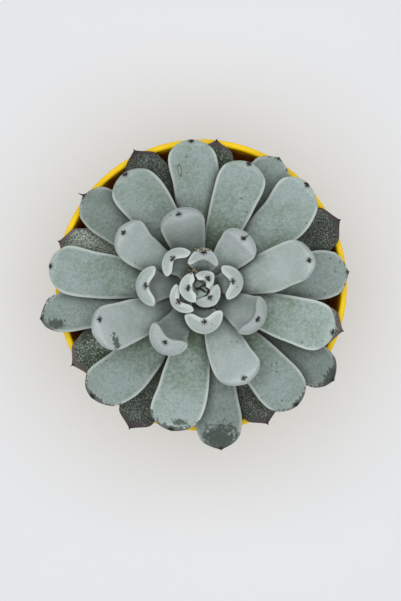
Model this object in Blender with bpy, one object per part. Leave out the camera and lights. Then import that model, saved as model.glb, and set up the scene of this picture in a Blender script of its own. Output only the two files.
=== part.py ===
"""A rosette succulent in a plain plastic pot: pot, soil, stem, and every leaf a solid of its own.

Run it with blender --background --python part.py. Units are metres, +Z is up, and the origin is
the middle of the pot's flat underside. The rosette grows from the oldest leaves at the bottom to
the bud at the top, and each leaf comes to rest just clear of the pot and of the leaves under it.
"""

import math

import bmesh
import bpy
from mathutils import Matrix, Vector
from mathutils.bvhtree import BVHTree

MM = 0.001
GAP = 0.3 * MM  # free space kept between pieces that lie on each other

# Pot, in millimetres
POT_HEIGHT = 86.0
RIM_RADIUS = 50.0
BASE_RADIUS = 36.0
WALL = 2.0
FLOOR = 3.0
COLLAR_HEIGHT = 13.0
COLLAR_STEP = 1.2  # the collar stands this proud of the body below it
LIP_ROUND = 0.7
FOOT_ROUND = 1.0
POT_SIDES = 72

# Soil and stem, in millimetres
SOIL_DROP = 15.0  # the soil's surface lies this far below the rim
SOIL_CROWN = 1.0  # and stands this much higher round the stem
STEM_DEPTH = 14.0
STEM_RADIUS = 5.6
STEM_SIDES = 16
STEM_STEP = 1.5

# The rosette's middle, in millimetres from the pot's axis
HEART = (0.0, -0.9)

# A leaf is a sphere drawn out into a leaf, with this many sides and rings
LEAF_SIDES = 12
LEAF_RINGS = 10

# Each whorl, oldest first. Lengths are in millimetres and angles in degrees.
# start: how far the leaf begins from the rosette's middle. foot: the least height of its spine
# there, above the rim. rise and fall: pitch of the spine at its foot and at its tip. hollow: depth
# of the channel along its face. blunt and point: the outline of its end, from rounded to pointed.
# neck: the foot's share of the leaf's width. stays: as a leaf is lifted, its tip rises by this
# share less than its foot.
WHORLS = {
    "outer": dict(start=7.4, foot=-5.0, rise=15, fall=-2, thick=4.4, hollow=0.5, blunt=2.1, point=0.9,
                  neck=0.32, stays=0.5, colour="old_leaf"),
    "lower": dict(start=7.0, foot=-2.0, rise=11, fall=8, thick=5.2, hollow=0.6, blunt=2.2, point=0.6,
                  neck=0.32, stays=0.5, colour="grown_leaf"),
    "main": dict(start=6.4, foot=2.0, rise=7, fall=22, thick=5.6, hollow=0.8, blunt=2.5, point=0.5,
                 neck=0.32, stays=0.5, colour="grown_leaf"),
    "upper": dict(start=5.0, foot=7.0, rise=12, fall=44, thick=5.8, hollow=1.4, blunt=2.5, point=0.5,
                  neck=0.30, stays=0.4, colour="young_leaf"),
    "inner": dict(start=3.8, foot=11.0, rise=16, fall=72, thick=6.2, hollow=2.6, blunt=2.5, point=0.5,
                  neck=0.28, stays=0.2, colour="young_leaf"),
    "heart": dict(start=2.4, foot=19.0, rise=50, fall=82, thick=4.4, hollow=2.2, blunt=2.4, point=0.55,
                  neck=0.35, stays=0.0, colour="young_leaf"),
    "bud": dict(start=1.2, foot=20.0, rise=74, fall=88, thick=2.0, hollow=0.5, blunt=2.0, point=0.7,
                neck=0.60, stays=0.0, colour="young_leaf"),
}

# Whorl, heading of the tip in degrees, its reach from the rosette's middle and the leaf's width
# in millimetres, then whatever differs from the whorl. Each leaf lies on those before it.
LEAVES = [
    ("outer", 343, 50.5, 15.0, {}),
    ("outer", 26, 53.0, 17.5, {}),
    ("outer", 84, 50.6, 15.0, {}),
    ("outer", 116, 52.0, 16.5, {}),
    ("outer", 162, 51.0, 15.5, {}),
    ("outer", 211, 52.0, 16.0, {}),
    ("outer", 243, 53.7, 16.0, {}),
    ("outer", 296, 51.6, 15.5, {}),
    ("lower", 59, 51.0, 15.5, {}),
    ("lower", 142, 50.4, 16.0, {}),
    ("lower", 191, 55.0, 14.5, dict(skew=20)),
    ("lower", 277, 54.8, 16.5, dict(skew=12)),
    ("lower", 325, 55.2, 16.0, {}),
    ("lower", 6, 49.8, 17.0, {}),
    ("main", 94, 49.4, 17.5, dict(skew=12)),
    ("main", 172, 51.0, 18.5, {}),
    ("main", 225, 51.2, 17.5, {}),
    ("main", 258, 48.6, 18.5, {}),
    ("main", 309, 50.6, 17.0, dict(skew=-12)),
    ("main", 341, 46.6, 17.5, dict(skew=-10)),
    ("main", 44, 49.6, 17.5, {}),
    ("main", 124, 45.8, 17.0, {}),
    ("main", 69, 44.4, 17.0, {}),
    ("upper", 203, 37.2, 16.5, dict(skew=25)),
    ("upper", 295, 34.2, 16.0, {}),
    ("upper", 14, 37.5, 16.5, dict(skew=-15)),
    ("upper", 145, 32.4, 14.5, {}),
    ("upper", 107, 25.8, 14.5, dict(rise=14, fall=52)),
    ("upper", 49, 21.8, 14.0, dict(rise=14, fall=56)),
    ("inner", 330, 21.6, 15.0, dict(start=4.4, fall=58)),
    ("inner", 237, 22.0, 15.0, dict(start=4.4, fall=66, thick=8.0)),
    ("inner", 179, 18.0, 14.5, dict(start=4.4)),
    ("inner", 135, 13.4, 12.5, dict(thick=5.2, foot=14)),
    ("inner", 10, 11.7, 12.5, dict(thick=6.0, foot=14)),
    ("inner", 275, 12.2, 13.8, dict(thick=7.0, foot=14)),
    ("inner", 86, 10.4, 10.5, dict(thick=4.4, lip=-0.2, foot=16)),
    ("inner", 213, 9.4, 11.5, dict(start=2.8, thick=4.4, foot=17)),
    ("heart", 321, 4.6, 9.5, {}),
    ("heart", 186, 4.8, 9.5, {}),
    ("heart", 48, 5.0, 8.0, dict(thick=3.8)),
    ("bud", 90, 2.0, 3.6, {}),
    ("bud", 210, 2.0, 3.6, {}),
    ("bud", 330, 2.0, 3.6, {}),
]

COLOURS = {
    "pot": ((0.87, 0.54, 0.01), 0.35),
    "soil": ((0.05, 0.03, 0.02), 0.95),
    "stem": ((0.22, 0.24, 0.15), 0.8),
    "old_leaf": ((0.16, 0.21, 0.15), 0.6),
    "grown_leaf": ((0.30, 0.38, 0.32), 0.6),
    "young_leaf": ((0.38, 0.46, 0.42), 0.6),
}

# A leaf's underside gives way where it lies on others, down to this share of its thickness
THINNEST = 0.3
LIFT_STEP = 0.15 * MM
MOST_LIFTS = 140


def clear_scene():
    for obj in list(bpy.data.objects):
        bpy.data.objects.remove(obj)


def make_material(name):
    colour, roughness = COLOURS[name]
    material = bpy.data.materials.new(name)
    material.use_nodes = True
    shader = material.node_tree.nodes["Principled BSDF"]
    shader.inputs["Base Color"].default_value = (*colour, 1.0)
    shader.inputs["Roughness"].default_value = roughness
    return material


def add_object(name, bm, material):
    """Turns a bmesh into a named object, with its place kept in the mesh."""
    mesh = bpy.data.meshes.new(name)
    bm.to_mesh(mesh)
    bm.free()
    mesh.materials.append(material)
    obj = bpy.data.objects.new(name, mesh)
    bpy.context.scene.collection.objects.link(obj)
    mesh.shade_smooth()
    mesh.set_sharp_from_angle(angle=math.radians(40))
    return obj


def turned(profile, sides):
    """A closed solid of revolution from a (radius, height) outline in millimetres."""
    bm = bmesh.new()
    points = [bm.verts.new((r * MM, 0.0, z * MM)) for r, z in profile]
    edges = [bm.edges.new((a, b)) for a, b in zip(points, points[1:])]
    if profile[0][0] > 0.0:
        edges.append(bm.edges.new((points[-1], points[0])))
    bmesh.ops.spin(
        bm, geom=points + edges, cent=(0, 0, 0), axis=(0, 0, 1),
        angle=2 * math.pi, steps=sides, use_merge=True,
    )
    bmesh.ops.remove_doubles(bm, verts=bm.verts, dist=0.01 * MM)
    bmesh.ops.recalc_face_normals(bm, faces=bm.faces)
    return bm


def wall_radius(height):
    """The outside radius of the pot's tapered body at a height, in millimetres."""
    share = height / POT_HEIGHT
    return BASE_RADIUS + (RIM_RADIUS - COLLAR_STEP - BASE_RADIUS) * share


def inner_radius(height):
    """The inside radius of the pot at a height, in millimetres."""
    share = (height - FLOOR) / (POT_HEIGHT - FLOOR)
    at_floor = wall_radius(FLOOR) - WALL
    return at_floor + (RIM_RADIUS - WALL - at_floor) * share


def make_pot(material):
    collar_foot = POT_HEIGHT - COLLAR_HEIGHT
    inside = [
        (0.0, FLOOR),
        (inner_radius(FLOOR), FLOOR),
        (inner_radius(POT_HEIGHT - LIP_ROUND), POT_HEIGHT - LIP_ROUND),
        (RIM_RADIUS - WALL + 0.3 * LIP_ROUND, POT_HEIGHT - 0.3 * LIP_ROUND),
        (RIM_RADIUS - WALL + LIP_ROUND, POT_HEIGHT),
    ]
    outside = [
        (RIM_RADIUS - LIP_ROUND, POT_HEIGHT),
        (RIM_RADIUS - 0.3 * LIP_ROUND, POT_HEIGHT - 0.3 * LIP_ROUND),
        (RIM_RADIUS, POT_HEIGHT - LIP_ROUND),
        (RIM_RADIUS - 0.5, collar_foot),
        (wall_radius(collar_foot), collar_foot - COLLAR_STEP),
        (wall_radius(FOOT_ROUND), FOOT_ROUND),
        (wall_radius(FOOT_ROUND) - FOOT_ROUND, 0.0),
        (0.0, 0.0),
    ]
    return add_object("pot", turned(inside + outside, POT_SIDES), material)


def make_soil(material):
    """Fills the pot to below the rim, with a pit for the stem."""
    gap = GAP / MM
    top = POT_HEIGHT - SOIL_DROP
    crown = top + SOIL_CROWN
    pit = STEM_RADIUS + gap
    middle = 0.5 * (pit + inner_radius(top))
    outline = [
        (0.0, top - STEM_DEPTH - gap),
        (pit, top - STEM_DEPTH - gap),
        (pit, crown),
        (middle, top + 0.4 * SOIL_CROWN),
        (inner_radius(top) - gap, top - 0.5),
        (inner_radius(FLOOR + gap) - gap, FLOOR + gap),
        (0.0, FLOOR + gap),
    ]
    bm = turned(outline, POT_SIDES)
    around_stem = [
        v for v in bm.verts
        if v.co.xy.length < (pit + 0.1) * MM and v.co.z > (top - 2 * STEM_DEPTH) * MM
    ]
    bmesh.ops.translate(bm, verts=around_stem, vec=(HEART[0] * MM, HEART[1] * MM, 0.0))
    return add_object("soil", bm, material)


# Leaves


def ease(x):
    """Rises from 0 to 1, nearly straight at first and level at the end."""
    return (3 * x - x**3) / 2


def leaf_half_width(t, leaf):
    """Half the leaf's width at t, from 0 at its foot to 1 at its tip."""
    widest = leaf["widest"]
    if t < widest:
        share = leaf["neck"] + (1 - leaf["neck"]) * ease(t / widest)
    else:
        y = (t - widest) / (1 - widest)
        share = max(0.0, 1 - y ** leaf["blunt"]) ** leaf["point"]
    foot_round = min(1.0, t / 0.02) ** 0.5
    return 0.5 * leaf["width"] * share * foot_round


def leaf_thickness(t, leaf):
    if t < 0.82:
        share = 0.4 + 0.6 * ease(min(1.0, t / 0.68))
    else:
        y = (t - 0.82) / 0.18
        share = max(0.0, 1 - y**3.2) ** 0.5
    foot_round = min(1.0, t / 0.02) ** 0.5
    return leaf["thick"] * share * foot_round


def shape_leaf(point, leaf):
    """Carries a point of the unit sphere, whose +Z pole becomes the tip, onto the leaf."""
    t = (1 + max(-1.0, min(1.0, point.z))) / 2
    ring = math.hypot(point.x, point.y)
    across = point.x / ring if ring > 1e-5 else 0.0
    up = point.y / ring if ring > 1e-5 else 0.0
    across = math.copysign(abs(across) ** 0.9, across)
    up = math.copysign(abs(up) ** 0.8, up)
    thick = leaf_thickness(t, leaf)
    side = leaf_half_width(t, leaf) * across
    deep = (0.38 if up > 0 else 0.62) * thick * up
    deep += leaf["hollow"] * (0.3 + 0.7 * t) * across**2
    deep += leaf["lip"] * leaf["thick"] * max(0.0, (t - 0.8) / 0.2) ** 2
    rise, fall = math.radians(leaf["rise"]), math.radians(leaf["fall"])
    pitch = rise + (fall - rise) * t
    arc = leaf["plan"] / (math.sin(fall) - math.sin(rise))
    along = arc * (math.sin(pitch) - math.sin(rise)) - deep * math.sin(pitch)
    height = arc * (math.cos(rise) - math.cos(pitch)) + deep * math.cos(pitch)
    return Vector((along, side, height)) * MM


def leaf_place(leaf):
    """The matrix that carries the shaped leaf to its place, before it is lifted."""
    foot_angle = math.radians(leaf["heading"] + leaf["skew"])
    tip_angle = math.radians(leaf["heading"])
    foot = leaf["start"] * Vector((math.cos(foot_angle), math.sin(foot_angle)))
    run = leaf["reach"] * Vector((math.cos(tip_angle), math.sin(tip_angle))) - foot
    leaf["plan"] = run.length
    place = Vector((HEART[0] + foot.x, HEART[1] + foot.y, POT_HEIGHT + leaf["foot"])) * MM
    return Matrix.Translation(place) @ Matrix.Rotation(math.atan2(run.y, run.x), 4, "Z")


def tree_of(bm, grow=0.0):
    """A search tree of the mesh, grown by a distance along its normals."""
    bm.normal_update()
    bm.verts.ensure_lookup_table()
    points = [v.co + v.normal * grow for v in bm.verts]
    faces = [[v.index for v in f.verts] for f in bm.faces]
    return BVHTree.FromPolygons(points, faces)


def first_hit(trees, start, way, reach):
    """How far along a ray the nearest of the pieces lies, or the reach if none does."""
    for tree in trees:
        distance = tree.ray_cast(start, way, reach)[3]
        if distance is not None:
            reach = min(reach, distance)
    return reach


def settle(leaf, placed):
    """The leaf's mesh, lifted and thinned underneath until it clears everything placed before it."""
    place = leaf_place(leaf)
    bm = bmesh.new()
    bmesh.ops.create_uvsphere(bm, u_segments=LEAF_SIDES, v_segments=LEAF_RINGS, radius=1.0)
    rows = []
    for vert in bm.verts:
        point = vert.co.copy()
        face = Vector((point.x, abs(point.y), point.z))
        share = 1 - leaf["stays"] * (1 + point.z) / 2
        rows.append((vert, place @ shape_leaf(point, leaf), place @ shape_leaf(face, leaf), share))
        vert.co = rows[-1][1]
    bmesh.ops.recalc_face_normals(bm, faces=bm.faces)
    for count in range(MOST_LIFTS):
        for vert, own, face, share in rows:
            lift = Vector((0.0, 0.0, count * LIFT_STEP * share))
            depth = (own - face).length
            if depth > 0.01 * MM:
                way = (own - face) / depth
                clear = first_hit(placed, face + lift, way, depth + 1.5 * GAP) - 1.5 * GAP
                vert.co = face + lift + way * max(clear, THINNEST * depth)
            else:
                vert.co = own + lift
        tree = tree_of(bm, 1.2 * GAP)
        if not any(tree.overlap(other) for other in placed):
            break
    else:
        raise RuntimeError("a leaf finds no room")
    return bm


def make_leaves(materials, pot_tree):
    placed = [pot_tree]
    counts = {}
    for whorl, heading, reach, width, changes in LEAVES:
        leaf = dict(widest=0.78, skew=0, lip=0.1)
        leaf.update(WHORLS[whorl])
        leaf.update(heading=heading, reach=reach, width=width)
        leaf.update(changes)
        counts[whorl] = counts.get(whorl, 0) + 1
        name = f"{whorl}_leaf_{counts[whorl]}"
        bm = settle(leaf, placed)
        placed.append(tree_of(bm))
        add_object(name, bm, materials[leaf["colour"]])
    return placed[1:]


def make_stem(material, leaf_trees):
    """As thick as the leaves round it leave room for, tapering to the bud."""
    top = POT_HEIGHT - SOIL_DROP
    heights = [top - STEM_DEPTH, top - STEM_DEPTH + 0.8]
    radii = [STEM_RADIUS - 0.8, STEM_RADIUS]
    z = top - 2.0
    while z < POT_HEIGHT + 40.0:
        centre = Vector((HEART[0], HEART[1], z)) * MM
        room = min(tree.find_nearest(centre)[3] for tree in leaf_trees) / MM
        radius = min(STEM_RADIUS, room - 1.3 * GAP / MM - 0.3)
        if radius < 0.6:
            break
        heights.append(z)
        radii.append(radius)
        z += STEM_STEP
    radii = [min(radii[max(0, i - 1): i + 2]) for i in range(len(radii))]
    outline = [(0.0, heights[0])] + list(zip(radii, heights)) + [(0.0, heights[-1] + 0.3)]
    bm = turned(outline, STEM_SIDES)
    bmesh.ops.translate(bm, verts=bm.verts, vec=(HEART[0] * MM, HEART[1] * MM, 0.0))
    return add_object("stem", bm, material)


def build():
    clear_scene()
    materials = {name: make_material(name) for name in COLOURS}
    pot = make_pot(materials["pot"])
    make_soil(materials["soil"])
    pot_mesh = bmesh.new()
    pot_mesh.from_mesh(pot.data)
    leaf_trees = make_leaves(materials, tree_of(pot_mesh))
    pot_mesh.free()
    make_stem(materials["stem"], leaf_trees)


build()
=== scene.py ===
import math
import random

import bmesh
import bpy
import numpy as np
from mathutils import Matrix, Vector, noise
from mathutils.bvhtree import BVHTree
from mathutils.kdtree import KDTree


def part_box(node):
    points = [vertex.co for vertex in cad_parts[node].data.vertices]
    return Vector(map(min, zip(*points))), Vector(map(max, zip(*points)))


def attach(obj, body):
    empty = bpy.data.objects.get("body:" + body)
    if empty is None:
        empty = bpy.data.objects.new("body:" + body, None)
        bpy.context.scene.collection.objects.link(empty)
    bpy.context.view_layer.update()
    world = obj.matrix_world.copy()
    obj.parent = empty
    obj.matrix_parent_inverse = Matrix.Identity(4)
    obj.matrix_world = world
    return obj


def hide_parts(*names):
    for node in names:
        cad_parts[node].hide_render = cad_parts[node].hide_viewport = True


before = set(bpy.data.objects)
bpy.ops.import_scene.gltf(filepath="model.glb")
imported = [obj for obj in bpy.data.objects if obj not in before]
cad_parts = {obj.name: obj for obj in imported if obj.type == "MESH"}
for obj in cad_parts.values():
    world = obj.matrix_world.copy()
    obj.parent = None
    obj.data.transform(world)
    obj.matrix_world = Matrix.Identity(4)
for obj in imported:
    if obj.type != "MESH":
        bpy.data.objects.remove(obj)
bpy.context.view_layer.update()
mm = 0.001
up = Vector((0, 0, 1))


# Colours are typed as sRGB hex and turned to the linear values that shaders take
def fromHex(colour):
    parts = [int(colour[i:i + 2], 16) / 255 for i in (1, 3, 5)]
    return [p / 12.92 if p <= 0.04045 else ((p + 0.055) / 1.055) ** 2.4 for p in parts] + [1.0]


# Adds one node: inputs maps a socket's name or number to a value or to another node's output
def addNode(tree, kind, inputs=(), **settings):
    node = tree.nodes.new("ShaderNode" + kind)
    for key, value in settings.items():
        setattr(node, key, value)
    for key, value in dict(inputs).items():
        if isinstance(value, bpy.types.NodeSocket):
            tree.links.new(value, node.inputs[key])
        else:
            node.inputs[key].default_value = value
    return node


def newMaterial(name, roughness, ior, specular=0.5):
    material = bpy.data.materials.new(name)
    material.use_nodes = True
    tree = material.node_tree
    shader = tree.nodes["Principled BSDF"]
    shader.inputs["Roughness"].default_value = roughness
    shader.inputs["IOR"].default_value = ior
    shader.inputs["Specular IOR Level"].default_value = specular
    return material, tree, shader


# Turns a bmesh into a piece that rides with the plant and stands for CAD nodes
def finishPiece(name, bm, material, nodes=()):
    mesh = bpy.data.meshes.new(name)
    bm.to_mesh(mesh)
    bm.free()
    mesh.materials.append(material)
    piece = bpy.data.objects.new(name, mesh)
    bpy.context.scene.collection.objects.link(piece)
    mesh.shade_smooth()
    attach(piece, "root")
    if nodes:
        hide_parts(*nodes)
    return piece


# Lengths in metres, apart from the lens and sensor in millimetres; power in watts
studio = {
    "cameraPlace": (-0.00024, -0.0053, 0.586),
    "lens": 87.5,
    "sensor": 36,
    "softboxSize": 1.5,
    "softboxHeight": 1.5,
    "softboxPower": 22,
    "fill": 0.32,
    "floorSize": 4,
    "floorColour": "#dee0e5",
    "floorCloud": "#e0e3e8",
}


def setStudio():
    scene = bpy.context.scene
    scene.view_settings.view_transform = "Standard"
    cameraData = bpy.data.cameras.new("overheadCamera")
    cameraData.lens = studio["lens"]
    cameraData.sensor_width = studio["sensor"]
    camera = bpy.data.objects.new("overheadCamera", cameraData)
    camera.location = studio["cameraPlace"]
    scene.collection.objects.link(camera)
    scene.camera = camera

    lightData = bpy.data.lights.new("softbox", "AREA")
    lightData.size = studio["softboxSize"]
    lightData.energy = studio["softboxPower"]
    softbox = bpy.data.objects.new("softbox", lightData)
    softbox.location = (0, 0, studio["softboxHeight"])
    scene.collection.objects.link(softbox)

    world = bpy.data.worlds.new("paleRoom")
    world.use_nodes = True
    world.node_tree.nodes["Background"].inputs["Strength"].default_value = studio["fill"]
    world.node_tree.nodes["Background"].inputs["Color"].default_value = (1, 1, 1, 1)
    scene.world = world

    # painted board: matt and pale, with faint clouds
    board, tree, shader = newMaterial("mattPaintedBoard", 0.85, 1.5, 0.2)
    place = addNode(tree, "TexCoord").outputs["Object"]
    cloud = addNode(tree, "TexNoise", {"Vector": place, "Scale": 6.0, "Detail": 3.0})
    tint = addNode(tree, "ValToRGB", {"Fac": cloud.outputs["Fac"]})
    tint.color_ramp.elements[0].color = fromHex(studio["floorColour"])
    tint.color_ramp.elements[1].color = fromHex(studio["floorCloud"])
    tree.links.new(tint.outputs["Color"], shader.inputs["Base Color"])
    bm = bmesh.new()
    bmesh.ops.create_grid(bm, x_segments=1, y_segments=1, size=studio["floorSize"] / 2)
    mesh = bpy.data.meshes.new("floor")
    bm.to_mesh(mesh)
    bm.free()
    mesh.materials.append(board)
    floor = bpy.data.objects.new("floor", mesh)
    scene.collection.objects.link(floor)


# A closed turned shape from an outline of (radius, height) in millimetres that starts and ends on
# the axis. rounds lists the corners to round first, as (corner, radius, segments).
def turned(outline, steps, rounds=()):
    bm = bmesh.new()
    points = [bm.verts.new((r * mm, 0, z * mm)) for r, z in outline]
    edges = [bm.edges.new(pair) for pair in zip(points, points[1:])]
    for index, size, segments in rounds:
        bmesh.ops.bevel(bm, geom=[points[index]], offset=size * mm, offset_type="OFFSET",
                        affect="VERTICES", segments=segments, profile=0.5, material=-1)
    bmesh.ops.spin(bm, geom=bm.verts[:] + bm.edges[:], cent=(0, 0, 0), axis=(0, 0, 1),
                   angle=2 * math.pi, steps=steps, use_merge=True)
    bmesh.ops.remove_doubles(bm, verts=bm.verts, dist=0.001 * mm)
    bmesh.ops.recalc_face_normals(bm, faces=bm.faces)
    return bm


# Pot, in millimetres
pot = {
    "height": 86.0,
    "rimRadius": 50.0,
    "baseRadius": 36.0,
    "wall": 2.0,
    "floor": 3.0,
    "collarHeight": 13.0,
    "collarStep": 1.2,
    "lipRound": 0.7,
    "steps": 192,
    "colour": "#ffdb00",
    "deepColour": "#f6c400",
    # inside below the rim: partly a peat stain, partly painted shade
    "stainAndShade": "#c8720f",
    "wetStainAndShade": "#8e4608",
    "stainAndShadeBelowRim": 0.3,
    "stainAndShadeFade": 0.9,
    "roughness": 0.42,
    "stainRoughness": 0.8,
    "wallCuts": 11,
    "creaseAngle": 35,
}


def outerRadius(height):
    slope = (pot["rimRadius"] - pot["collarStep"] - pot["baseRadius"]) / pot["height"]
    return pot["baseRadius"] + slope * height


def innerRadius(height):
    share = (height - pot["floor"]) / (pot["height"] - pot["floor"])
    atFloor = outerRadius(pot["floor"]) - pot["wall"]
    return atFloor + (pot["rimRadius"] - pot["wall"] - atFloor) * share


# Injection moulded polypropylene: evenly coloured and half glossy, with the mould's faint draw
# marks; the inside below the rim turns orange-brown, partly stained by damp peat and partly painted shade
def polypropylene():
    material, tree, shader = newMaterial("mouldedPolypropylene", pot["roughness"], 1.49, 0.2)
    place = addNode(tree, "TexCoord").outputs["Object"]
    inside = addNode(tree, "Attribute", attribute_name="inside").outputs["Fac"]
    cloud = addNode(tree, "TexNoise", {"Vector": place, "Scale": 45.0, "Detail": 4.0})
    plastic = addNode(tree, "MixRGB", {"Fac": cloud.outputs["Fac"], "Color1": fromHex(pot["colour"]),
                                       "Color2": fromHex(pot["deepColour"])})
    blots = addNode(tree, "TexNoise", {"Vector": place, "Scale": 160.0, "Detail": 5.0})
    # painted shade: the inside wall below the rim turns orange-brown, partly a peat stain
    peat = addNode(tree, "MixRGB", {"Fac": blots.outputs["Fac"], "Color1": fromHex(pot["stainAndShade"]),
                                    "Color2": fromHex(pot["wetStainAndShade"])})
    rough = addNode(tree, "MapRange", {"Value": blots.outputs["Fac"], "From Min": 0.3, "From Max": 0.7,
                                       "To Min": -0.25, "To Max": 0.25})
    edge = addNode(tree, "Math", {0: inside, 1: rough.outputs["Result"]}, operation="ADD")
    stainAndShadeMask = addNode(tree, "MapRange", {"Value": edge.outputs[0], "From Min": 0.3, "From Max": 0.75})
    colour = addNode(tree, "MixRGB", {"Fac": stainAndShadeMask.outputs["Result"], "Color1": plastic.outputs["Color"],
                                      "Color2": peat.outputs["Color"]})
    tree.links.new(colour.outputs["Color"], shader.inputs["Base Color"])
    gloss = addNode(tree, "MapRange", {"Value": stainAndShadeMask.outputs["Result"], "To Min": pot["roughness"],
                                       "To Max": pot["stainRoughness"]})
    tree.links.new(gloss.outputs["Result"], shader.inputs["Roughness"])
    # moulding's draw marks: fine upright lines, a third of a millimetre apart
    lines = addNode(tree, "Mapping", {"Vector": place, "Scale": (3000.0, 3000.0, 60.0)})
    drag = addNode(tree, "TexNoise", {"Vector": lines.outputs["Vector"], "Scale": 1.0, "Detail": 2.0})
    bump = addNode(tree, "Bump", {"Height": drag.outputs["Fac"], "Strength": 0.12, "Distance": 0.05 * mm})
    tree.links.new(bump.outputs["Normal"], shader.inputs["Normal"])
    return material


def makePot():
    top, wall, lip = pot["height"], pot["wall"], pot["lipRound"]
    collarFoot = top - pot["collarHeight"]
    outline = [
        (0, pot["floor"]),
        (innerRadius(pot["floor"]), pot["floor"]),
        (pot["rimRadius"] - wall, top),
        (pot["rimRadius"], top),
        (pot["rimRadius"] - 0.5, collarFoot),
        (outerRadius(collarFoot), collarFoot - pot["collarStep"]),
        (outerRadius(0), 0),
        (0, 0),
    ]
    rounds = [(1, 2.0, 4), (2, lip, 5), (3, lip, 5), (4, 0.4, 3), (5, 0.5, 3), (6, 1.0, 4)]
    bm = turned(outline, pot["steps"], rounds)
    inside = bm.verts.layers.float.new("inside")
    # the walls' long upright edges are cut, so that the stain and painted shade can fade below the rim
    upright = [e for e in bm.edges if abs(e.verts[0].co.z - e.verts[1].co.z) > 20 * mm]
    bmesh.ops.subdivide_edges(bm, edges=upright, cuts=pot["wallCuts"], use_grid_fill=False)
    for vert in bm.verts:
        height = vert.co.z / mm
        within = vert.co.xy.length / mm < 0.5 * (innerRadius(height) + outerRadius(height))
        below = (top - pot["stainAndShadeBelowRim"] - height) / pot["stainAndShadeFade"]
        vert[inside] = min(1.0, max(0.0, below)) if within and height > 1 else 0.0
    piece = finishPiece("yellowPot", bm, polypropylene(), ["pot"])
    piece.data.set_sharp_from_angle(angle=math.radians(pot["creaseAngle"]))
    print("pot made")


# Soil, in millimetres. drop: how far it lies below the rim, and sink: how much lower still between
# its lumps. crown: how much higher it is in the middle. gap: between soil and pot.
soil = {
    "drop": 15.0,
    "sink": 0.4,
    "crown": 0.5,
    "crownReach": 20,
    "lumps": 0.9,
    "highestLump": 0.6,
    "foot": 3.3,
    "gap": 0.3,
    "rings": 34,
    "steps": 120,
    "grainReach": 43.0,
    "crumbs": 700,
    "crumbSize": (0.7, 2.6),
    "perlite": 110,
    "perliteSize": (0.9, 3.0),
    "seed": 4,
    "peat": "#3a2a1c",
    "dryPeat": "#5b452f",
    "perliteColour": "#d9d6cc",
    "perliteDirt": "#a89c86",
}


# Damp peat mix: dark brown and matt, with crumbs a millimetre across and lighter dry patches
def peatMix():
    material, tree, shader = newMaterial("peatMix", 0.95, 1.4, 0.2)
    place = addNode(tree, "TexCoord").outputs["Object"]
    grains = addNode(tree, "TexNoise", {"Vector": place, "Scale": 900.0, "Detail": 6.0, "Roughness": 0.7})
    damp = addNode(tree, "TexNoise", {"Vector": place, "Scale": 90.0, "Detail": 3.0})
    both = addNode(tree, "Math", {0: grains.outputs["Fac"], 1: damp.outputs["Fac"]}, operation="MULTIPLY")
    shade = addNode(tree, "MapRange", {"Value": both.outputs[0], "From Min": 0.12, "From Max": 0.38})
    colour = addNode(tree, "MixRGB", {"Fac": shade.outputs["Result"], "Color1": fromHex(soil["peat"]),
                                      "Color2": fromHex(soil["dryPeat"])})
    tree.links.new(colour.outputs["Color"], shader.inputs["Base Color"])
    bump = addNode(tree, "Bump", {"Height": grains.outputs["Fac"], "Strength": 0.8, "Distance": 0.5 * mm})
    tree.links.new(bump.outputs["Normal"], shader.inputs["Normal"])
    return material


# Expanded perlite: off-white, chalky glass foam with pits a fifth of a millimetre across
def expandedPerlite():
    material, tree, shader = newMaterial("expandedPerlite", 0.9, 1.5, 0.3)
    place = addNode(tree, "TexCoord").outputs["Object"]
    pits = addNode(tree, "TexVoronoi", {"Vector": place, "Scale": 3000.0})
    dirt = addNode(tree, "TexNoise", {"Vector": place, "Scale": 500.0, "Detail": 3.0})
    colour = addNode(tree, "MixRGB", {"Fac": dirt.outputs["Fac"], "Color1": fromHex(soil["perliteColour"]),
                                      "Color2": fromHex(soil["perliteDirt"])})
    tree.links.new(colour.outputs["Color"], shader.inputs["Base Color"])
    bump = addNode(tree, "Bump", {"Height": pits.outputs["Distance"], "Strength": 0.6,
                                  "Distance": 0.2 * mm})
    tree.links.new(bump.outputs["Normal"], shader.inputs["Normal"])
    return material


def soilHeight(x, y):
    crown = soil["crown"] * max(0.0, 1 - math.hypot(x, y) / soil["crownReach"])
    lumps = noise.fractal(Vector((x * 0.18, y * 0.18, 3.0)), 1.0, 2.0, 4) * soil["lumps"]
    return pot["height"] - soil["drop"] + crown + min(soil["highestLump"], lumps) - soil["sink"]


# Small stones and crumbs, each a rough twenty-sided grain
def grains(count, sizes, flat, lift, seed):
    chance = random.Random(seed)
    smallest, largest = sizes
    bm = bmesh.new()
    for _ in range(count):
        angle = chance.uniform(0, 2 * math.pi)
        radius = soil["grainReach"] * math.sqrt(chance.uniform(0.03, 1.0))
        size = smallest + (largest - smallest) * chance.random() ** 2
        x, y = radius * math.cos(angle), radius * math.sin(angle)
        made = bmesh.ops.create_icosphere(bm, subdivisions=1, radius=0.5 * size * mm)["verts"]
        for vert in made:
            vert.co *= chance.uniform(0.75, 1.15)
            vert.co.z *= flat
        turn = Matrix.Rotation(chance.uniform(0, 6.3), 4, (chance.random(), chance.random(), 1))
        place = Vector((x, y, soilHeight(x, y) + lift * size)) * mm
        bmesh.ops.transform(bm, matrix=Matrix.Translation(place) @ turn, verts=made)
    return bm


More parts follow.
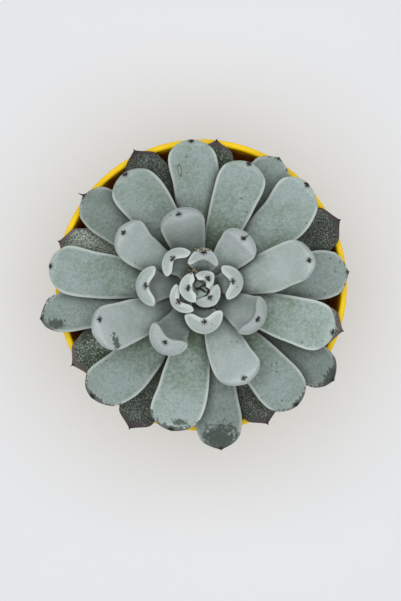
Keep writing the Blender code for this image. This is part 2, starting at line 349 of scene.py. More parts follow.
def makeSoil():
    top, foot, rings = pot["height"] - soil["drop"], soil["foot"], soil["rings"]
    rim = innerRadius(top) - soil["gap"]
    outline = [(rim * i / rings, top) for i in range(rings + 1)]
    outline += [(innerRadius(foot) - soil["gap"], foot), (0, foot)]
    bm = turned(outline, soil["steps"])
    for vert in bm.verts:
        if vert.co.z > (top - 1) * mm:
            vert.co.z = soilHeight(vert.co.x / mm, vert.co.y / mm) * mm
    peat = peatMix()
    finishPiece("pottingSoil", bm, peat, ["soil"])
    crumbs = grains(soil["crumbs"], soil["crumbSize"], flat=0.8, lift=0.12, seed=soil["seed"])
    finishPiece("soilCrumbs", crumbs, peat)
    perlite = grains(soil["perlite"], soil["perliteSize"], flat=0.9, lift=0.15, seed=soil["seed"] + 1)
    finishPiece("perliteGrains", perlite, expandedPerlite())
    print("soil made")


# Stem; slim is its share of the CAD stem's radius
stem = {"around": 48, "slim": 0.985, "colour": "#6f6a4c", "scar": "#4a3b28", "green": "#7d8a66"}


# Corky stem: dull greenish brown flakes, ringed by the dark scars of fallen leaves
def corkyStem():
    material, tree, shader = newMaterial("corkyStem", 0.85, 1.4, 0.3)
    place = addNode(tree, "TexCoord").outputs["Object"]
    flakes = addNode(tree, "TexNoise", {"Vector": place, "Scale": 700.0, "Detail": 5.0})
    scars = addNode(tree, "TexWave", {"Vector": place, "Scale": 90.0, "Distortion": 6.0, "Detail": 2.0},
                    bands_direction="Z")
    bark = addNode(tree, "MixRGB", {"Fac": flakes.outputs["Fac"], "Color1": fromHex(stem["colour"]),
                                    "Color2": fromHex(stem["green"])})
    colour = addNode(tree, "MixRGB", {"Fac": scars.outputs["Fac"], "Color1": fromHex(stem["scar"]),
                                      "Color2": bark.outputs["Color"]})
    tree.links.new(colour.outputs["Color"], shader.inputs["Base Color"])
    bump = addNode(tree, "Bump", {"Height": scars.outputs["Fac"], "Strength": 0.5, "Distance": 0.4 * mm})
    tree.links.new(bump.outputs["Normal"], shader.inputs["Normal"])
    return material


def makeStem():
    low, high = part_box("stem")
    middle = Vector(((low.x + high.x) / 2, (low.y + high.y) / 2, 0))
    radii = {}
    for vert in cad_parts["stem"].data.vertices:
        height = round(vert.co.z / mm, 1)
        radius = (vert.co.xy - middle.xy).length / mm
        radii[height] = max(radii.get(height, 0), radius)
    heights = sorted(radii)
    outline = [(0, heights[0])] + [(radii[z], z) for z in heights[1:-1]] + [(0, heights[-1])]
    bm = turned([(r * stem["slim"], z) for r, z in outline], stem["around"])
    bmesh.ops.translate(bm, verts=bm.verts, vec=middle)
    finishPiece("stemCore", bm, corkyStem(), ["stem"])
    print("stem made")
    return middle


# Leaves. The CAD leaf is a ball of twelve sides and ten rings drawn out into a leaf. Its points
# are read back as a cage, and a fine ball is laid over the cage and carved.
leafMesh = {"around": 64, "along": 60, "cageSides": 12, "cageRings": 10, "spineThickness": 0.7}

# What a leaf can have, with lengths in millimetres and angles in degrees
plainLeaf = {
    "turn": 0,  # turned about the heart
    "shift": 0,  # moved outwards
    "flat": 0,  # share of the face's bulge that is pressed out
    "scoop": 0,  # how deep the face is hollowed
    "neck": 0,  # painted shade in the face's hollow, below the blunt end's cut
    "under": 0,  # 1 where the end stands out over the face, as a crescent
    "left": (0, 0),  # how far the left side is drawn in, halfway along and near the end
    "right": (0, 0),
    "shoulder": 0,  # share by which the end is widened
    "cusp": 0,  # how far the point stands out
    "facet": 0,  # depth of the slanting cut across the blunt end
    "lean": 0,  # the cut's tilt outwards
    "side": 0,  # the cut's tilt to the left
    "round": 0.3,  # softness of the cut's edge
    "wave": 0,  # unevenness of the skin
    "spine": 0,  # length of the tip's spine
    "over": 0,  # how far the spine sits over the end, towards the face
    "aside": 0,  # how far it sits to the left
    "spineTurn": 0,  # the way it points, to the left
    "tone": 1.0,  # lightness of the skin
    "foot": 0,  # how much darker the lower half is, as painted shade
    "bloom": 0.5,  # powder on the skin
    "wear": 0.0,  # brown flecks near the tip
    "mark": None,  # see leafNotes
}

# What the leaves of each whorl have in common
whorls = {
    "outer": dict(flat=0.4, left=(0.3, 0), right=(0.3, 0), shoulder=0.4, cusp=0.9, shift=-0.3, spine=0.6,
                  wave=0.4, bloom=0.0, tone=0.8, wear=0.75),
    "lower": dict(flat=0.5, left=(0.4, 0), right=(0.4, 0), shoulder=0.15, cusp=0.6, spine=0.6, over=6,
                  wave=0.25, bloom=0.1, tone=0.72, wear=0.1),
    "main": dict(flat=0.55, left=(0.5, 0), right=(0.5, 0), cusp=0.2, facet=0.35, lean=12, spine=0.6,
                 over=10, wave=0.2, bloom=0.2, tone=0.89, foot=0.12),
    "upper": dict(flat=0.3, left=(0.4, 0), right=(0.4, 0), cusp=0.2, facet=0.4, lean=8, round=0.9,
                  spine=0.5, over=16, wave=0.15, bloom=0.4, tone=0.97, foot=0.08),
    "inner": dict(scoop=1.1, neck=0.4, left=(2.1, 0), right=(2.1, 0), under=1, shoulder=0.15, facet=0.5,
                  lean=14, round=0.9, spine=0.3, wave=0.12, bloom=0.35, tone=0.93),
    "heart": dict(scoop=0.7, neck=0.3, facet=0.3, lean=12, round=0.8, spine=0.25, wave=0.08, bloom=0.2),
}

# What single leaves have of their own. mark: place along (0 to 1) and across (-1 to 1), half
# length and half width, and kind: 1 for skin rubbed dark, 2 for an oval scar.
leafNotes = {
    "outer_leaf_1": dict(tone=1.0, bloom=0.45),
    "outer_leaf_2": dict(tone=0.5, shift=-0.8),
    "outer_leaf_4": dict(tone=0.4, left=(0.3, 1.0)),
    "outer_leaf_5": dict(tone=1.0, bloom=0.3),
    "outer_leaf_6": dict(tone=1.05, shift=-1.0),
    "outer_leaf_7": dict(tone=0.5),
    "outer_leaf_8": dict(tone=0.55),
    "lower_leaf_2": dict(tone=0.62, spine=2.3, spineTurn=35),
    "lower_leaf_3": dict(left=(1.0, 1.0), right=(-0.8, -0.8), wear=0.4, mark=(0.9, 0.5, 3.6, 2.4, 1)),
    "lower_leaf_4": dict(tone=0.62, left=(0.8, 0), mark=(0.92, -0.05, 5.2, 7.0, 1)),
    # tone lowered partly as painted shade, where this leaf lies under two main leaves
    "lower_leaf_5": dict(tone=0.55, shift=-0.8, right=(0.4, 0.6), wear=0.6, mark=(0.96, 0.1, 2.0, 3.4, 1)),
    "main_leaf_1": dict(left=(1.9, 0.3), right=(-0.3, 0), mark=(0.77, 0.55, 2.3, 0.9, 2)),
    "main_leaf_2": dict(left=(0.2, 0.4), right=(1.7, 1.0)),
    "main_leaf_3": dict(tone=0.8, shift=0.5, left=(-1.6, -0.5), right=(2.1, 1.0), wear=0.6),
    "main_leaf_4": dict(tone=0.96, left=(-0.6, 0), right=(1.7, 0.5), wear=0.6,
                        mark=(0.93, 0.3, 1.4, 3.2, 1)),
    "main_leaf_5": dict(tone=0.8, wear=0.5),
    "main_leaf_6": dict(tone=0.98, right=(0.7, 0.5)),
    "main_leaf_7": dict(tone=0.95, left=(2.7, 0.6), right=(-1.9, -0.8)),
    "main_leaf_8": dict(tone=0.82, left=(1.1, 0), right=(-0.6, 0)),
    "main_leaf_9": dict(right=(0.9, 0.3)),
    "upper_leaf_1": dict(right=(1.1, 0.6), shift=0.7, over=26, aside=-16, mark=(0.84, 0.7, 1.4, 3.6, 1)),
    "upper_leaf_2": dict(tone=1.04, left=(1.5, 0.4), right=(-0.3, 0)),
    "upper_leaf_3": dict(tone=1.04, side=-6, right=(0.4, 2.0)),
    "upper_leaf_4": dict(left=(-0.5, 0), right=(2.3, 0.3)),
    "upper_leaf_5": dict(tone=0.85, left=(0.2, 0), right=(0.1, -0.3), facet=0.9, over=6, bloom=0.15,
                         foot=0.35),
    "upper_leaf_6": dict(left=(0.8, 0.5), side=-8, spine=3.4, over=7, spineTurn=-25),
    "inner_leaf_1": dict(tone=0.86, scoop=0.8, neck=0.05, shift=0.3, left=(1.4, 0), right=(1.4, 0)),
    "inner_leaf_2": dict(shift=0.4),
    "inner_leaf_3": dict(shift=0.9),
    "inner_leaf_4": dict(shift=0.3),
    "inner_leaf_5": dict(tone=0.86, shift=-0.5, neck=0.2),
    "inner_leaf_7": dict(tone=0.86, scoop=0.3, left=(0.4, 0), right=(0.4, 0), side=14, neck=0.15, facet=0.9,
                         round=0.5),
    "heart_leaf_1": dict(tone=0.95, turn=-13, shift=0.4, scoop=0.1),
    "heart_leaf_2": dict(scoop=0.0, neck=0.05),
    "heart_leaf_3": dict(tone=0.92, scoop=0.0, neck=0.1, shift=-1.2, right=(0.8, 1.4), side=-18, facet=0.9,
                         round=0.3),
}


def smoothStep(low, high, value):
    share = np.clip((value - low) / (high - low), 0, 1)
    return share * share * (3 - 2 * share)


def unit(vector):
    return vector / np.linalg.norm(vector)


# The cage as an array of rings from foot to tip, each starting on the left edge and going over
# the face, and the leaf's ways outwards and to the left
def leafCage(name, middle):
    bm = bmesh.new()
    bm.from_mesh(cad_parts[name].data)
    bmesh.ops.remove_doubles(bm, verts=bm.verts, dist=1e-6)
    poles = [v for v in bm.verts if len(v.link_edges) == leafMesh["cageSides"]]
    foot, tip = sorted(poles, key=lambda v: (v.co.xy - middle.xy).length + v.co.z)
    run = Vector((tip.co.x - foot.co.x, tip.co.y - foot.co.y, 0)).normalized()
    left = up.cross(run)
    rings, seen = [{foot}], {foot}
    while tip not in seen:
        further = {e.other_vert(v) for v in rings[-1] for e in v.link_edges} - seen
        rings.append(further)
        seen |= further
    centres = [sum((v.co for v in ring), Vector()) / len(ring) for ring in rings]
    cage = []
    for index, ring in enumerate(rings):
        if len(ring) == 1:
            cage.append([centres[index]] * leafMesh["cageSides"])
            continue
        faceward = (centres[index + 1] - centres[index - 1]).cross(left)
        row = [max(ring, key=lambda v: v.co.dot(left))]
        beside = [e.other_vert(row[0]) for e in row[0].link_edges if e.other_vert(row[0]) in ring]
        row.append(max(beside, key=lambda v: v.co.dot(faceward)))
        while len(row) < leafMesh["cageSides"]:
            ahead = [e.other_vert(row[-1]) for e in row[-1].link_edges]
            row.append(next(v for v in ahead if v in ring and v != row[-2]))
        cage.append([v.co.copy() for v in row])
    bm.free()
    return np.array(cage), np.array(run), np.array(left)


# The four weights of a curve through its points, a share f of the way from the second to the third
def splineWeights(f):
    return np.stack([-0.5 * f + f**2 - 0.5 * f**3, 1 - 2.5 * f**2 + 1.5 * f**3,
                     0.5 * f + 2 * f**2 - 1.5 * f**3, -0.5 * f**2 + 0.5 * f**3], axis=1)


# Carries points of the unit ball onto the smooth skin stretched over the cage
def onCage(cage, ball):
    sides, rings = leafMesh["cageSides"], leafMesh["cageRings"]
    over = np.concatenate([[np.roll(cage[1], sides // 2, 0)], cage, [np.roll(cage[-2], sides // 2, 0)]])
    row = np.arccos(np.clip(-ball[:, 2], -1, 1)) / math.pi * rings
    column = np.arctan2(ball[:, 1], ball[:, 0]) / (2 * math.pi) * sides
    firstRow = np.minimum(np.floor(row).astype(int), rings - 1)
    firstColumn = np.floor(column).astype(int)
    rowWeights = splineWeights(row - firstRow)
    columnWeights = splineWeights(column - firstColumn)
    made = np.zeros_like(ball)
    for i in range(4):
        for j in range(4):
            weight = (rowWeights[:, i] * columnWeights[:, j])[:, None]
            made += weight * over[firstRow + i, (firstColumn + j - 1) % sides]
    return made


# What the skin's colours follow. tipPlace: offset to the left of the spine, distance from it, and
# height over the blunt end's cut. markPlace: place in a mark, and its kind. leafTone: tone,
# with the painted shade of the hollow and the lower half, bloom and wear. alongLeaf: place from foot
# to tip. edgeGap: distance from the outline.
def leafLayers(bm):
    vectors, floats = bm.verts.layers.float_vector, bm.verts.layers.float
    return [vectors.new(n) for n in ("tipPlace", "markPlace", "leafTone")] + [
        floats.new(n) for n in ("alongLeaf", "edgeGap")]


# The fine ball's points on the skin, and what the carving needs to know about each: its ring's
# size, its place along, how far it is on the face's side, the point straight under it between the
# two edges, how far it is to the left (-1 to 1), and half the leaf's width there
def laySkin(bm, cage):
    ball = np.array([v.co for v in bm.verts])
    ring = np.hypot(ball[:, 0], ball[:, 1])
    level = ball[:, 2]
    skin = onCage(cage, ball)
    leftEdge = onCage(cage, np.column_stack([ring, 0 * ring, level]))
    rightEdge = onCage(cage, np.column_stack([-ring, 0 * ring, level]))
    wide = leftEdge - rightEdge
    share = np.sum((skin - rightEdge) * wide, axis=1) / np.maximum(np.sum(wide**2, axis=1), 1e-12)
    share = np.clip(share, 0, 1)
    return skin, {
        "ball": ball,
        "ring": ring,
        "along": (1 + level) / 2,
        "over": ball[:, 1] / np.maximum(ring, 1e-6),
        "chord": rightEdge + wide * share[:, None],
        "sideways": 2 * share - 1,
        "halfWide": np.linalg.norm(wide, axis=1) / 2,
    }


# Presses the face's bulge flatter and hollows the face; a crescent's two ends stand out over it
def hollowFace(skin, spots, look, run):
    ring, along, sideways = spots["ring"], spots["along"], spots["sideways"]
    press = look["flat"] * smoothStep(0.2, 0.6, along) * (spots["over"] > 0)
    skin -= (skin - spots["chord"]) * press[:, None]
    faceSide = np.clip(spots["over"], 0, 1)**0.5
    dug = smoothStep(0.0, 0.75, ring) * smoothStep(0.3, 0.65, along) * faceSide * (1 - sideways**2)
    dug *= 1 + 0.7 * look["under"] * (1 - smoothStep(0.8, 0.92, along))
    lobes = smoothStep(0.0, 0.6, ring) * smoothStep(0.6, 0.85, along) * faceSide
    lobes *= 4 * sideways**2 * (1 - sideways**2)
    skin += run * ((dug * look["scoop"] - 0.9 * look["under"] * lobes) * mm)[:, None]


# Draws the sides in, widens the shoulders and pulls out the point. It gives the tip's place before
# the point is pulled.
def shapeOutline(skin, spots, look, cage, run, left):
    along, sideways, halfWide = spots["along"], spots["sideways"], spots["halfWide"]
    bellyEnd = 0.7 if look["under"] else 0.62
    belly = smoothStep(0.05, 0.5, along) * (1 - smoothStep(bellyEnd, 0.92, along))
    nearEnd = smoothStep(0.5, 0.8, along) * (1 - smoothStep(0.93, 1.0, along))
    for side, key in ((1, "left"), (-1, "right")):
        inwards = (look[key][0] * belly + look[key][1] * nearEnd) * mm
        drawn = np.minimum(inwards, 0.5 * halfWide) * np.clip(side * sideways, 0, 1)
        skin -= left * side * drawn[:, None]
    skin += left * (look["shoulder"] * smoothStep(0.86, 1.0, along) * sideways * halfWide)[:, None]
    skin += run * look["shift"] * mm
    tip = skin[np.argmax(along)].copy()
    behindTip = onCage(cage, np.array([[0.0, 0.43, 0.9], [0.0, -0.43, 0.9]])).mean(axis=0)
    aside = np.abs((skin - tip) @ left) / mm
    pulled = (np.exp(-aside / 0.9) - 0.5) * smoothStep(0.9, 1.0, along) * look["cusp"] * mm
    skin += pulled[:, None] * unit(tip - behindTip)
    return tip


def unevenSkin(skin, spots, look):
    for index, place in enumerate(skin):
        wave = noise.noise(Vector(place) * 90) * look["wave"] * mm
        skin[index, 2] += wave * min(1, 3 * spots["along"][index])


# Cuts the blunt end by a slanting plane with a rounded edge. It gives each point's height over
# the plane, in millimetres.
def cutEnd(skin, look, run, left):
    lean, aslant = math.radians(look["lean"]), math.radians(look["side"])
    plane = unit(np.array(up) + run * math.tan(lean) + left * math.tan(aslant))
    heights = skin @ plane
    above = (heights - heights.max()) / mm + look["facet"]
    if look["facet"] == 0:
        return above - 10
    skin -= plane * (look["round"] * np.logaddexp(0, above / look["round"]) * 0.9 * mm)[:, None]
    return above


# The leaf's outline as seen from above, which the pale margin and its painted highlight follow
def outlineOf(bm):
    outline = KDTree(len(bm.edges))
    for edge in bm.edges:
        first, second = edge.verts
        if first.normal.z * second.normal.z < 0:
            share = first.normal.z / (first.normal.z - second.normal.z)
            outline.insert(first.co.lerp(second.co, share), edge.index)
    outline.balance()
    return outline


# Where the spine stands and the way the skin faces there
def spineBase(bm, spots, look):
    tilt, slew = math.radians(look["over"]), math.radians(look["aside"])
    wanted = np.array([math.sin(slew), math.sin(tilt), math.cos(tilt)])
    base = bm.verts[int(np.argmin(np.sum((spots["ball"] - wanted) ** 2, axis=1)))]
    return base.co.copy(), base.normal.copy()


# Writes on each point what the skin's colours follow
def noteSkin(bm, layers, spots, look, above, base, left, length):
    tipPlace, markPlace, leafTone, alongLeaf, edgeGap = layers
    along, over = spots["along"], spots["over"]
    outline = outlineOf(bm)
    # painted shade: the face side below the blunt end's cut is darkened, and the lower half too
    neckShade = look["neck"] * smoothStep(0.5, 2.2, -above) * smoothStep(0.0, 0.3, over)
    tonesWithShade = look["tone"] * (1 - neckShade) * (1 - look["foot"] * (1 - smoothStep(0.5, 0.95, along)))
    for index, vert in enumerate(bm.verts):
        offset = (vert.co - base) / mm
        vert[tipPlace] = (offset.dot(left), offset.length, above[index])
        vert[leafTone] = (tonesWithShade[index], look["bloom"], look["wear"])
        vert[alongLeaf] = along[index]
        vert[edgeGap] = outline.find(vert.co)[2] / mm
        vert[markPlace] = (5, 5, 0)  # far outside any mark
        if look["mark"] and over[index] > 0:
            markAlong, markAcross, halfLong, halfBroad, kind = look["mark"]
            aside = (spots["sideways"][index] - markAcross) * spots["halfWide"][index] / mm
            vert[markPlace] = ((along[index] - markAlong) * length / halfLong, aside / halfBroad, kind)


# A thin thorn that curves over towards bend as it rises along way, added to a leaf's mesh
def addSpine(leaf, base, way, bend, length, thickness, tone):
    bm = bmesh.new()
    tipPlace, markPlace, leafTone, alongLeaf, edgeGap = leafLayers(bm)
    bmesh.ops.create_cone(bm, cap_ends=True, segments=8, radius1=thickness / 2, radius2=thickness / 14,
                          depth=length)
    sides = [e for e in bm.edges if abs(e.verts[0].co.z - e.verts[1].co.z) > length / 2]
    bmesh.ops.subdivide_edges(bm, edges=sides, cuts=4, use_grid_fill=True)
    turn = up.rotation_difference(way).to_matrix()
    for vert in bm.verts:
        share = vert.co.z / length + 0.5
        vert.co = base + turn @ Vector((vert.co.x, vert.co.y, share * length)) + bend * length * share**2
        vert[tipPlace], vert[leafTone], vert[alongLeaf], vert[edgeGap] = (0, 0, -5), tone, 1, 5
    mesh = bpy.data.meshes.new("spine")
    bm.to_mesh(mesh)
    bm.free()
    leaf.from_mesh(mesh)
    bpy.data.meshes.remove(mesh)


def carveLeaf(name, middle, material):
    whorl, _, number = name.split("_")
    look = plainLeaf | whorls[whorl] | leafNotes.get(name, {})
    cage, run, left = leafCage(name, middle)
    turn = np.array(Matrix.Rotation(math.radians(look["turn"]), 3, "Z"))
    cage = (cage - np.array(middle)) @ turn.T + np.array(middle)
    run, left = turn @ run, turn @ left
    bm = bmesh.new()
    layers = leafLayers(bm)
    bmesh.ops.create_uvsphere(bm, u_segments=leafMesh["around"], v_segments=leafMesh["along"], radius=1)

    skin, spots = laySkin(bm, cage)
    hollowFace(skin, spots, look, run)
    tip = shapeOutline(skin, spots, look, cage, run, left)
    unevenSkin(skin, spots, look)
    above = cutEnd(skin, look, run, left)
    for vert, place in zip(bm.verts, skin):
        vert.co = place
    bm.normal_update()
    bm.verts.ensure_lookup_table()

    base, outward = spineBase(bm, spots, look)
    length = np.linalg.norm(tip - skin[np.argmin(spots["along"])]) / mm
    noteSkin(bm, layers, spots, look, above, base, Vector(left), length)
    turnSide = Vector(left) * math.tan(math.radians(look["spineTurn"]))
    way = (outward * 0.6 + Vector(run) * 0.8 + turnSide).normalized()
    addSpine(bm, base - 0.3 * mm * way, way, (up - turnSide) * 0.3, look["spine"] * mm,
             leafMesh["spineThickness"] * mm, (look["tone"], look["bloom"], 0))
    return finishPiece(whorl + "Leaf" + number, bm, material, [name])


# The bud: three small leaves folded together. Each has its outline as seen from above, in
# millimetres from the heart's axis, and the height of its top
bud = {
    "bud_leaf_1": dict(top=115.5, outline=[
        (-2.75, -0.4), (-1.5, -0.3), (-0.3, 0.0), (0.6, 0.35), (1.55, 0.65),
        (1.3, 1.5), (0.5, 2.4), (-0.7, 3.3), (-1.9, 2.4), (-2.7, 0.9)]),
    "bud_leaf_2": dict(top=114.6, outline=[
        (-2.8, -0.65), (-1.5, -0.5), (-0.4, -0.2), (0.6, -1.0), (1.7, -1.85),
        (1.2, -2.7), (-0.6, -3.4), (-2.4, -4.0), (-2.8, -3.0), (-2.95, -1.8)]),
    "bud_leaf_3": dict(top=115.9, outline=[
        (-0.15, -0.1), (0.7, 0.2), (1.6, 0.5), (1.9, -0.5), (1.85, -1.6), (0.8, -0.9)]),
}


# A ball whose rings take the outline's shape: low and domed on top, narrowing to a foot below
def foldBud(name, middle, material):
    shape = bud[name]
    corners = np.array(shape["outline"])
    centre = corners.mean(axis=0)
    bm = bmesh.new()
    tipPlace, markPlace, leafTone, alongLeaf, edgeGap = leafLayers(bm)
    bmesh.ops.create_uvsphere(bm, u_segments=48, v_segments=40, radius=1)
    for vert in bm.verts:
        level = vert.co.z
        turn = (math.atan2(vert.co.y, vert.co.x) / (2 * math.pi) % 1) * len(corners)
        first = int(turn)
        near = corners[[(first + k) % len(corners) for k in (-1, 0, 1, 2)]]
        edge = (splineWeights(np.array([turn - first]))[0][:, None] * near).sum(axis=0)
        size = math.hypot(vert.co.x, vert.co.y)**0.45 * (1.0 if level > 0 else 1 + 0.35 * level)
        place = centre + (edge - centre) * size
        height = shape["top"] - (0.9 * (1 - level) if level > 0 else 0.9 - 6.5 * level)
        height += noise.noise(Vector((place[0] * 0.8, place[1] * 0.8, shape["top"]))) * 0.35
        vert.co = Vector((middle.x + place[0] * mm, middle.y + place[1] * mm, height * mm))
        vert[tipPlace], vert[markPlace], vert[leafTone] = (0, 9, -5), (5, 5, 0), (1.4, 0.0, 0)
        vert[alongLeaf], vert[edgeGap] = 0.45, 5
    bmesh.ops.recalc_face_normals(bm, faces=bm.faces)
    return finishPiece("budLeaf" + name.split("_")[2], bm, material, [name])


# Leaf skins: a waxy epidermis, matt with powdery bloom, green where the bloom is rubbed off.
# leafMarks: colours of the marks and of the tip's star, which all skins share.
# foot, flesh, bloom: colours of the lower part, of the rest and of the powder. coat: how much
# thicker the powder lies towards the end, mottle: how patchy it is, speck: grains to a metre.
# pits: share of spots rubbed through. margin, rim, end: strength of the pale
# outline, partly the skin's own pale margin and partly a painted highlight, of the painted highlight
# along the crease round the blunt end and of the painted light on the end itself. joint: reach of the
# painted shade between leaves.
leafMarks = {"rubbed": "#3d4a3f", "scar": "#5d5a4c", "star": "#140f11"}
skins = {
    "old_leaf": dict(
        name="oldLeafSkin", roughness=0.55, foot="#5f6c5b", flesh="#323f2e", bloom="#a9b3a9",
        footFrom=0.55, footTo=0.8, speck=1900.0, mottle=3.4, coat=0.1, powder=0.3, pits=0.35,
        rubbed="#262c23", margin=0.3, marginColour="#9b9d95", rim=0.0, end=0.0, dried="#5a4a4f",
        joint=2.5),
    "grown_leaf": dict(
        name="grownLeafSkin", roughness=0.6, foot="#647861", flesh="#7e9182", bloom="#9aa9a7",
        footFrom=0.15, footTo=0.9, speck=900.0, mottle=2.0, coat=0.6, powder=0.14, pits=0.08,
        rubbed="#5f6f62", margin=0.8, marginColour="#d3dbd5", rim=0.1, end=0.1, dried="#413d3c",
        joint=2.5),
    "young_leaf": dict(
        name="youngLeafSkin", roughness=0.6, foot="#6a7d6f", flesh="#8e9d94", bloom="#a8b3b2",
        footFrom=0.2, footTo=0.9, speck=900.0, mottle=0.9, coat=0.5, powder=0.07, pits=0.05,
        rubbed="#76857c", margin=0.7, marginColour="#d0d8d2", rim=0.1, end=0.03, dried="#5a554e",
        joint=2.0),
}


# Short ways to add the nodes that the skins are made of; each gives the node's output
def maths(tree, operation, *values, **settings):
    return addNode(tree, "Math", dict(enumerate(values)), operation=operation, **settings).outputs[0]


def ramp(tree, value, low, high, atLow, atHigh, **settings):
    return addNode(tree, "MapRange", {"Value": value, "From Min": low, "From Max": high, "To Min": atLow,
                                      "To Max": atHigh}, **settings).outputs[0]


def softRamp(*values):
    return ramp(*values, interpolation_type="SMOOTHSTEP")


def scaled(tree, colour, share):
    return addNode(tree, "VectorMath", {0: colour, "Scale": share}, operation="SCALE").outputs[0]


def tinted(tree, colour, share, tint):
    return addNode(tree, "MixRGB", {"Fac": share, "Color1": colour, "Color2": fromHex(tint)}).outputs[0]


# What the skin's colours are mixed from
def skinReadings(tree):
    read = {"place": addNode(tree, "TexCoord").outputs["Object"]}
    for name in ("alongLeaf", "edgeGap"):
        read[name] = addNode(tree, "Attribute", attribute_name=name).outputs["Fac"]
    for name in ("tipPlace", "markPlace", "leafTone"):
        vector = addNode(tree, "Attribute", attribute_name=name).outputs["Vector"]
        read[name] = addNode(tree, "SeparateXYZ", {0: vector}).outputs
    # a mottle of about 1 mm
    read["mottle"] = addNode(tree, "TexNoise", {"Vector": read["place"], "Scale": 900.0, "Detail": 4.0,
                                                "Roughness": 0.65}).outputs["Fac"]
    return read


# Green flesh, deeper towards the foot, under bloom in clouds of 9 mm and a powder of 0.4 mm
def bloomedFlesh(tree, look, read):
    body = softRamp(tree, read["alongLeaf"], look["footFrom"], look["footTo"], 0.0, 1.0)
    flesh = addNode(tree, "MixRGB", {"Fac": body, "Color1": fromHex(look["foot"]),
                                     "Color2": fromHex(look["flesh"])}).outputs[0]
    place, tone = read["place"], read["leafTone"]
    broad = addNode(tree, "TexNoise", {"Vector": place, "Scale": 110.0, "Detail": 2.0}).outputs["Fac"]
    cloud = maths(tree, "MULTIPLY_ADD", broad, 1.5, -0.75)
    speck = addNode(tree, "TexNoise", {"Vector": place, "Scale": look["speck"],
                                       "Detail": 3.0}).outputs["Fac"]
    grain = maths(tree, "MULTIPLY_ADD", speck, look["mottle"], -0.5 * look["mottle"])
    spread = maths(tree, "ADD", cloud, grain)
    amount = maths(tree, "ADD", spread, tone["Y"])
    covered = maths(tree, "MULTIPLY_ADD", body, look["coat"], amount, use_clamp=True)
    bloomed = tinted(tree, flesh, covered, look["bloom"])
    powder = addNode(tree, "TexNoise", {"Vector": place, "Scale": 2500.0, "Detail": 2.0}).outputs["Fac"]
    dust = ramp(tree, powder, 0.35, 0.65, 1 - look["powder"], 1 + look["powder"])
    return scaled(tree, bloomed, dust)


# Pits where the bloom is rubbed through, half a millimetre across
def rubbedPits(tree, look, read, colour):
    cells = addNode(tree, "TexVoronoi", {"Vector": read["place"], "Scale": 600.0})
    pit = ramp(tree, cells.outputs["Distance"], 0.12, 0.3, 1.0, 0.0)
    chance = addNode(tree, "SeparateXYZ", {0: cells.outputs["Color"]}).outputs["X"]
    often = maths(tree, "LESS_THAN", chance, look["pits"])
    pitted = maths(tree, "MULTIPLY", pit, often)
    return tinted(tree, colour, pitted, look["rubbed"])


# Pale margin about a millimetre wide along the outline seen from above, partly the skin's own pale
# margin and partly a painted highlight; a painted highlight along the crease round the blunt end, and
# painted light on the end beyond it
def paleMarginAndPaintedLight(tree, look, read, colour):
    height = read["tipPlace"]["Z"]
    # partly the skin's own pale margin, partly a painted highlight along the outline seen from above
    margin = softRamp(tree, read["edgeGap"], 0.35, 1.5, look["margin"], 0.0)
    far = maths(tree, "ABSOLUTE", height)
    # painted highlight along the crease round the blunt end, and painted light on the up-facing end
    rim = softRamp(tree, far, 0.05, 0.4, look["rim"], 0.0)
    end = softRamp(tree, height, -0.2, 0.5, 0.0, look["end"])
    paintedCreaseLight = maths(tree, "ADD", rim, end)
    paleAndPaintedLight = maths(tree, "MAXIMUM", margin, paintedCreaseLight)
    return tinted(tree, colour, paleAndPaintedLight, look["marginColour"])


# Dry flecks along the worn margin near the tip
def dryFlecks(tree, look, read, colour):
    wear = read["leafTone"]["Z"]
    nearEdge = ramp(tree, read["edgeGap"], 0.2, 3.0, 0.42, 0.0)
    nearTip = ramp(tree, read["alongLeaf"], 0.78, 0.98, -0.3, 0.22)
    dry = maths(tree, "ADD", nearEdge, nearTip)
    drier = maths(tree, "MULTIPLY_ADD", wear, 0.35, dry)
    fleck = maths(tree, "ADD", drier, read["mottle"])
    brownAt = softRamp(tree, fleck, 1.02, 1.14, 0.0, 0.8)
    isWorn = maths(tree, "GREATER_THAN", wear, 0.01)
    brown = maths(tree, "MULTIPLY", brownAt, isWorn)
    return tinted(tree, colour, brown, look["dried"])


# Marks: skin rubbed dark with a ragged edge, or an oval scar with a corky rim
def skinMarks(tree, read, colour):
    mark = read["markPlace"]
    flat = addNode(tree, "CombineXYZ", {0: mark["X"], 1: mark["Y"]}).outputs[0]
    gap = addNode(tree, "VectorMath", {0: flat}, operation="LENGTH").outputs["Value"]
    ragged = maths(tree, "MULTIPLY_ADD", read["mottle"], 3.0, gap)
    blot = ramp(tree, ragged, 2.1, 2.45, 0.85, 0.0)
    fromRing = maths(tree, "SUBTRACT", gap, 0.8)
    ringGap = maths(tree, "ABSOLUTE", fromRing)
    ring = ramp(tree, ringGap, 0.1, 0.28, 0.8, 0.0)
    for kind, shape, tint in ((1, blot, leafMarks["rubbed"]), (2, ring, leafMarks["scar"])):
        isKind = maths(tree, "COMPARE", mark["Z"], kind, 0.3)
        marked = maths(tree, "MULTIPLY", shape, isKind)
        colour = tinted(tree, colour, marked, tint)
    return colour


# The leaf's own lightness with the painted shade of its hollow and lower half, and painted shade
# that gathers where leaves press together: sharp in the joint and faint around it
def jointShade(tree, look, read, colour):
    shaded = scaled(tree, colour, read["leafTone"]["X"])
    for reach, deepest in ((0.9, 0.05), (look["joint"], 0.3), (look["joint"] * 3, 0.35)):
        pressed = addNode(tree, "AmbientOcclusion", {"Distance": reach * mm}, samples=8).outputs["AO"]
        shade = ramp(tree, pressed, 0.4, 0.85, deepest, 1.0)
        shaded = scaled(tree, shaded, shade)
    return shaded


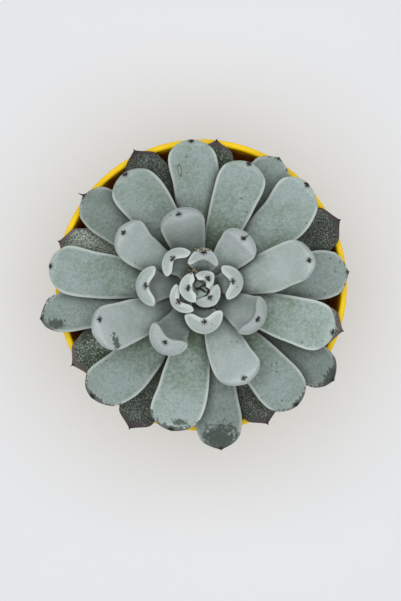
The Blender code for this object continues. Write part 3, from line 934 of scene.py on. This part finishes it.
# Dark star with five ragged arms round the spine, in a faint smudge
def tipStar(tree, read, colour):
    offset, gap = read["tipPlace"]["X"], read["tipPlace"]["Y"]
    sine = maths(tree, "DIVIDE", offset, gap)
    angle = maths(tree, "ARCSINE", sine)
    five = maths(tree, "MULTIPLY", angle, 5.0)
    arms = maths(tree, "COSINE", five)
    ragged = maths(tree, "MULTIPLY_ADD", read["mottle"], 2.4, -1.2)
    short = maths(tree, "MULTIPLY_ADD", arms, -0.26, ragged)
    reach = maths(tree, "ADD", gap, short)
    star = softRamp(tree, reach, 0.4, 0.95, 0.95, 0.0)
    smudge = softRamp(tree, gap, 0.3, 1.7, 0.5, 1.0)
    dimmed = scaled(tree, colour, smudge)
    return tinted(tree, dimmed, star, leafMarks["star"])


def leafSkin(look):
    material, tree, shader = newMaterial(look["name"], look["roughness"], 1.4, 0.3)
    shader.inputs["Sheen Weight"].default_value = 0.25
    shader.inputs["Sheen Roughness"].default_value = 0.4
    read = skinReadings(tree)
    colour = bloomedFlesh(tree, look, read)
    for layer in (rubbedPits, paleMarginAndPaintedLight, dryFlecks):
        colour = layer(tree, look, read, colour)
    colour = skinMarks(tree, read, colour)
    colour = jointShade(tree, look, read, colour)
    colour = tipStar(tree, read, colour)
    tree.links.new(colour, shader.inputs["Base Color"])
    bump = addNode(tree, "Bump", {"Height": read["mottle"], "Strength": 0.3, "Distance": 0.12 * mm})
    tree.links.new(bump.outputs["Normal"], shader.inputs["Normal"])
    return material


# Dry crumbs caught between the leaves, in millimetres. Each heap has its number of crumbs, its
# middle from the heart's axis and its spread.
crumbs = {
    "heaps": [(14, (-0.3, 12.2), (2.0, 0.9)), (16, (-3.2, 5.2), (1.8, 0.8))],
    "smallest": 0.5,
    "largest": 1.2,
    "flat": 0.7,
    "seed": 11,
    "colour": "#a39f8e",
    "darkColour": "#5c5748",
}


# Dry husk: pale and dull, with dark fibres
def dryHusk():
    material, tree, shader = newMaterial("dryHusk", 0.9, 1.4, 0.2)
    place = addNode(tree, "TexCoord").outputs["Object"]
    fibres = addNode(tree, "TexNoise", {"Vector": place, "Scale": 1600.0, "Detail": 3.0}).outputs["Fac"]
    sharp = addNode(tree, "MapRange", {"Value": fibres, "From Min": 0.4, "From Max": 0.6}).outputs["Result"]
    colour = addNode(tree, "MixRGB", {"Fac": sharp, "Color1": fromHex(crumbs["darkColour"]),
                                      "Color2": fromHex(crumbs["colour"])})
    tree.links.new(colour.outputs["Color"], shader.inputs["Base Color"])
    return material


# Drops each crumb straight down onto the leaves
def makeCrumbs(middle, leaves):
    chance = random.Random(crumbs["seed"])
    trees = []
    for leaf in leaves:
        bm = bmesh.new()
        bm.from_mesh(leaf.data)
        trees.append(BVHTree.FromBMesh(bm))
        bm.free()
    bm = bmesh.new()
    for count, heap, spread in crumbs["heaps"]:
        for _ in range(count):
            x = middle.x + (heap[0] + chance.gauss(0, 0.5) * spread[0]) * mm
            y = middle.y + (heap[1] + chance.gauss(0, 0.5) * spread[1]) * mm
            hits = [tree.ray_cast(Vector((x, y, 0.2)), -up)[0] for tree in trees]
            top = max(hit.z for hit in hits if hit)
            size = chance.uniform(crumbs["smallest"], crumbs["largest"])
            made = bmesh.ops.create_icosphere(bm, subdivisions=2, radius=0.5 * size * mm)["verts"]
            for vert in made:
                vert.co *= 1 + 0.5 * noise.noise(vert.co * 2500 + Vector((x, y, 0)) * 9000)
                vert.co.z *= crumbs["flat"]
            turn = Matrix.Rotation(chance.uniform(0, 6.3), 4, "Z")
            place = Matrix.Translation((x, y, top + 0.25 * size * mm))
            bmesh.ops.transform(bm, matrix=place @ turn, verts=made)
    finishPiece("dryCrumbs", bm, dryHusk())
    print("crumbs dropped")


def makeLeaves(middle):
    slots = {"outer": "old_leaf", "lower": "grown_leaf", "main": "grown_leaf"}
    materials = {key: leafSkin(look) for key, look in skins.items()}
    made = []
    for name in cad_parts:
        if "_leaf_" in name:
            slotName = slots.get(name.split("_")[0], "young_leaf")
            if name in bud:
                made.append(foldBud(name, middle, materials[slotName]))
            else:
                made.append(carveLeaf(name, middle, materials[slotName]))
    print(len(made), "leaves made")
    return made


setStudio()
makePot()
makeSoil()
heartPlace = makeStem()
makeCrumbs(heartPlace, makeLeaves(heartPlace))
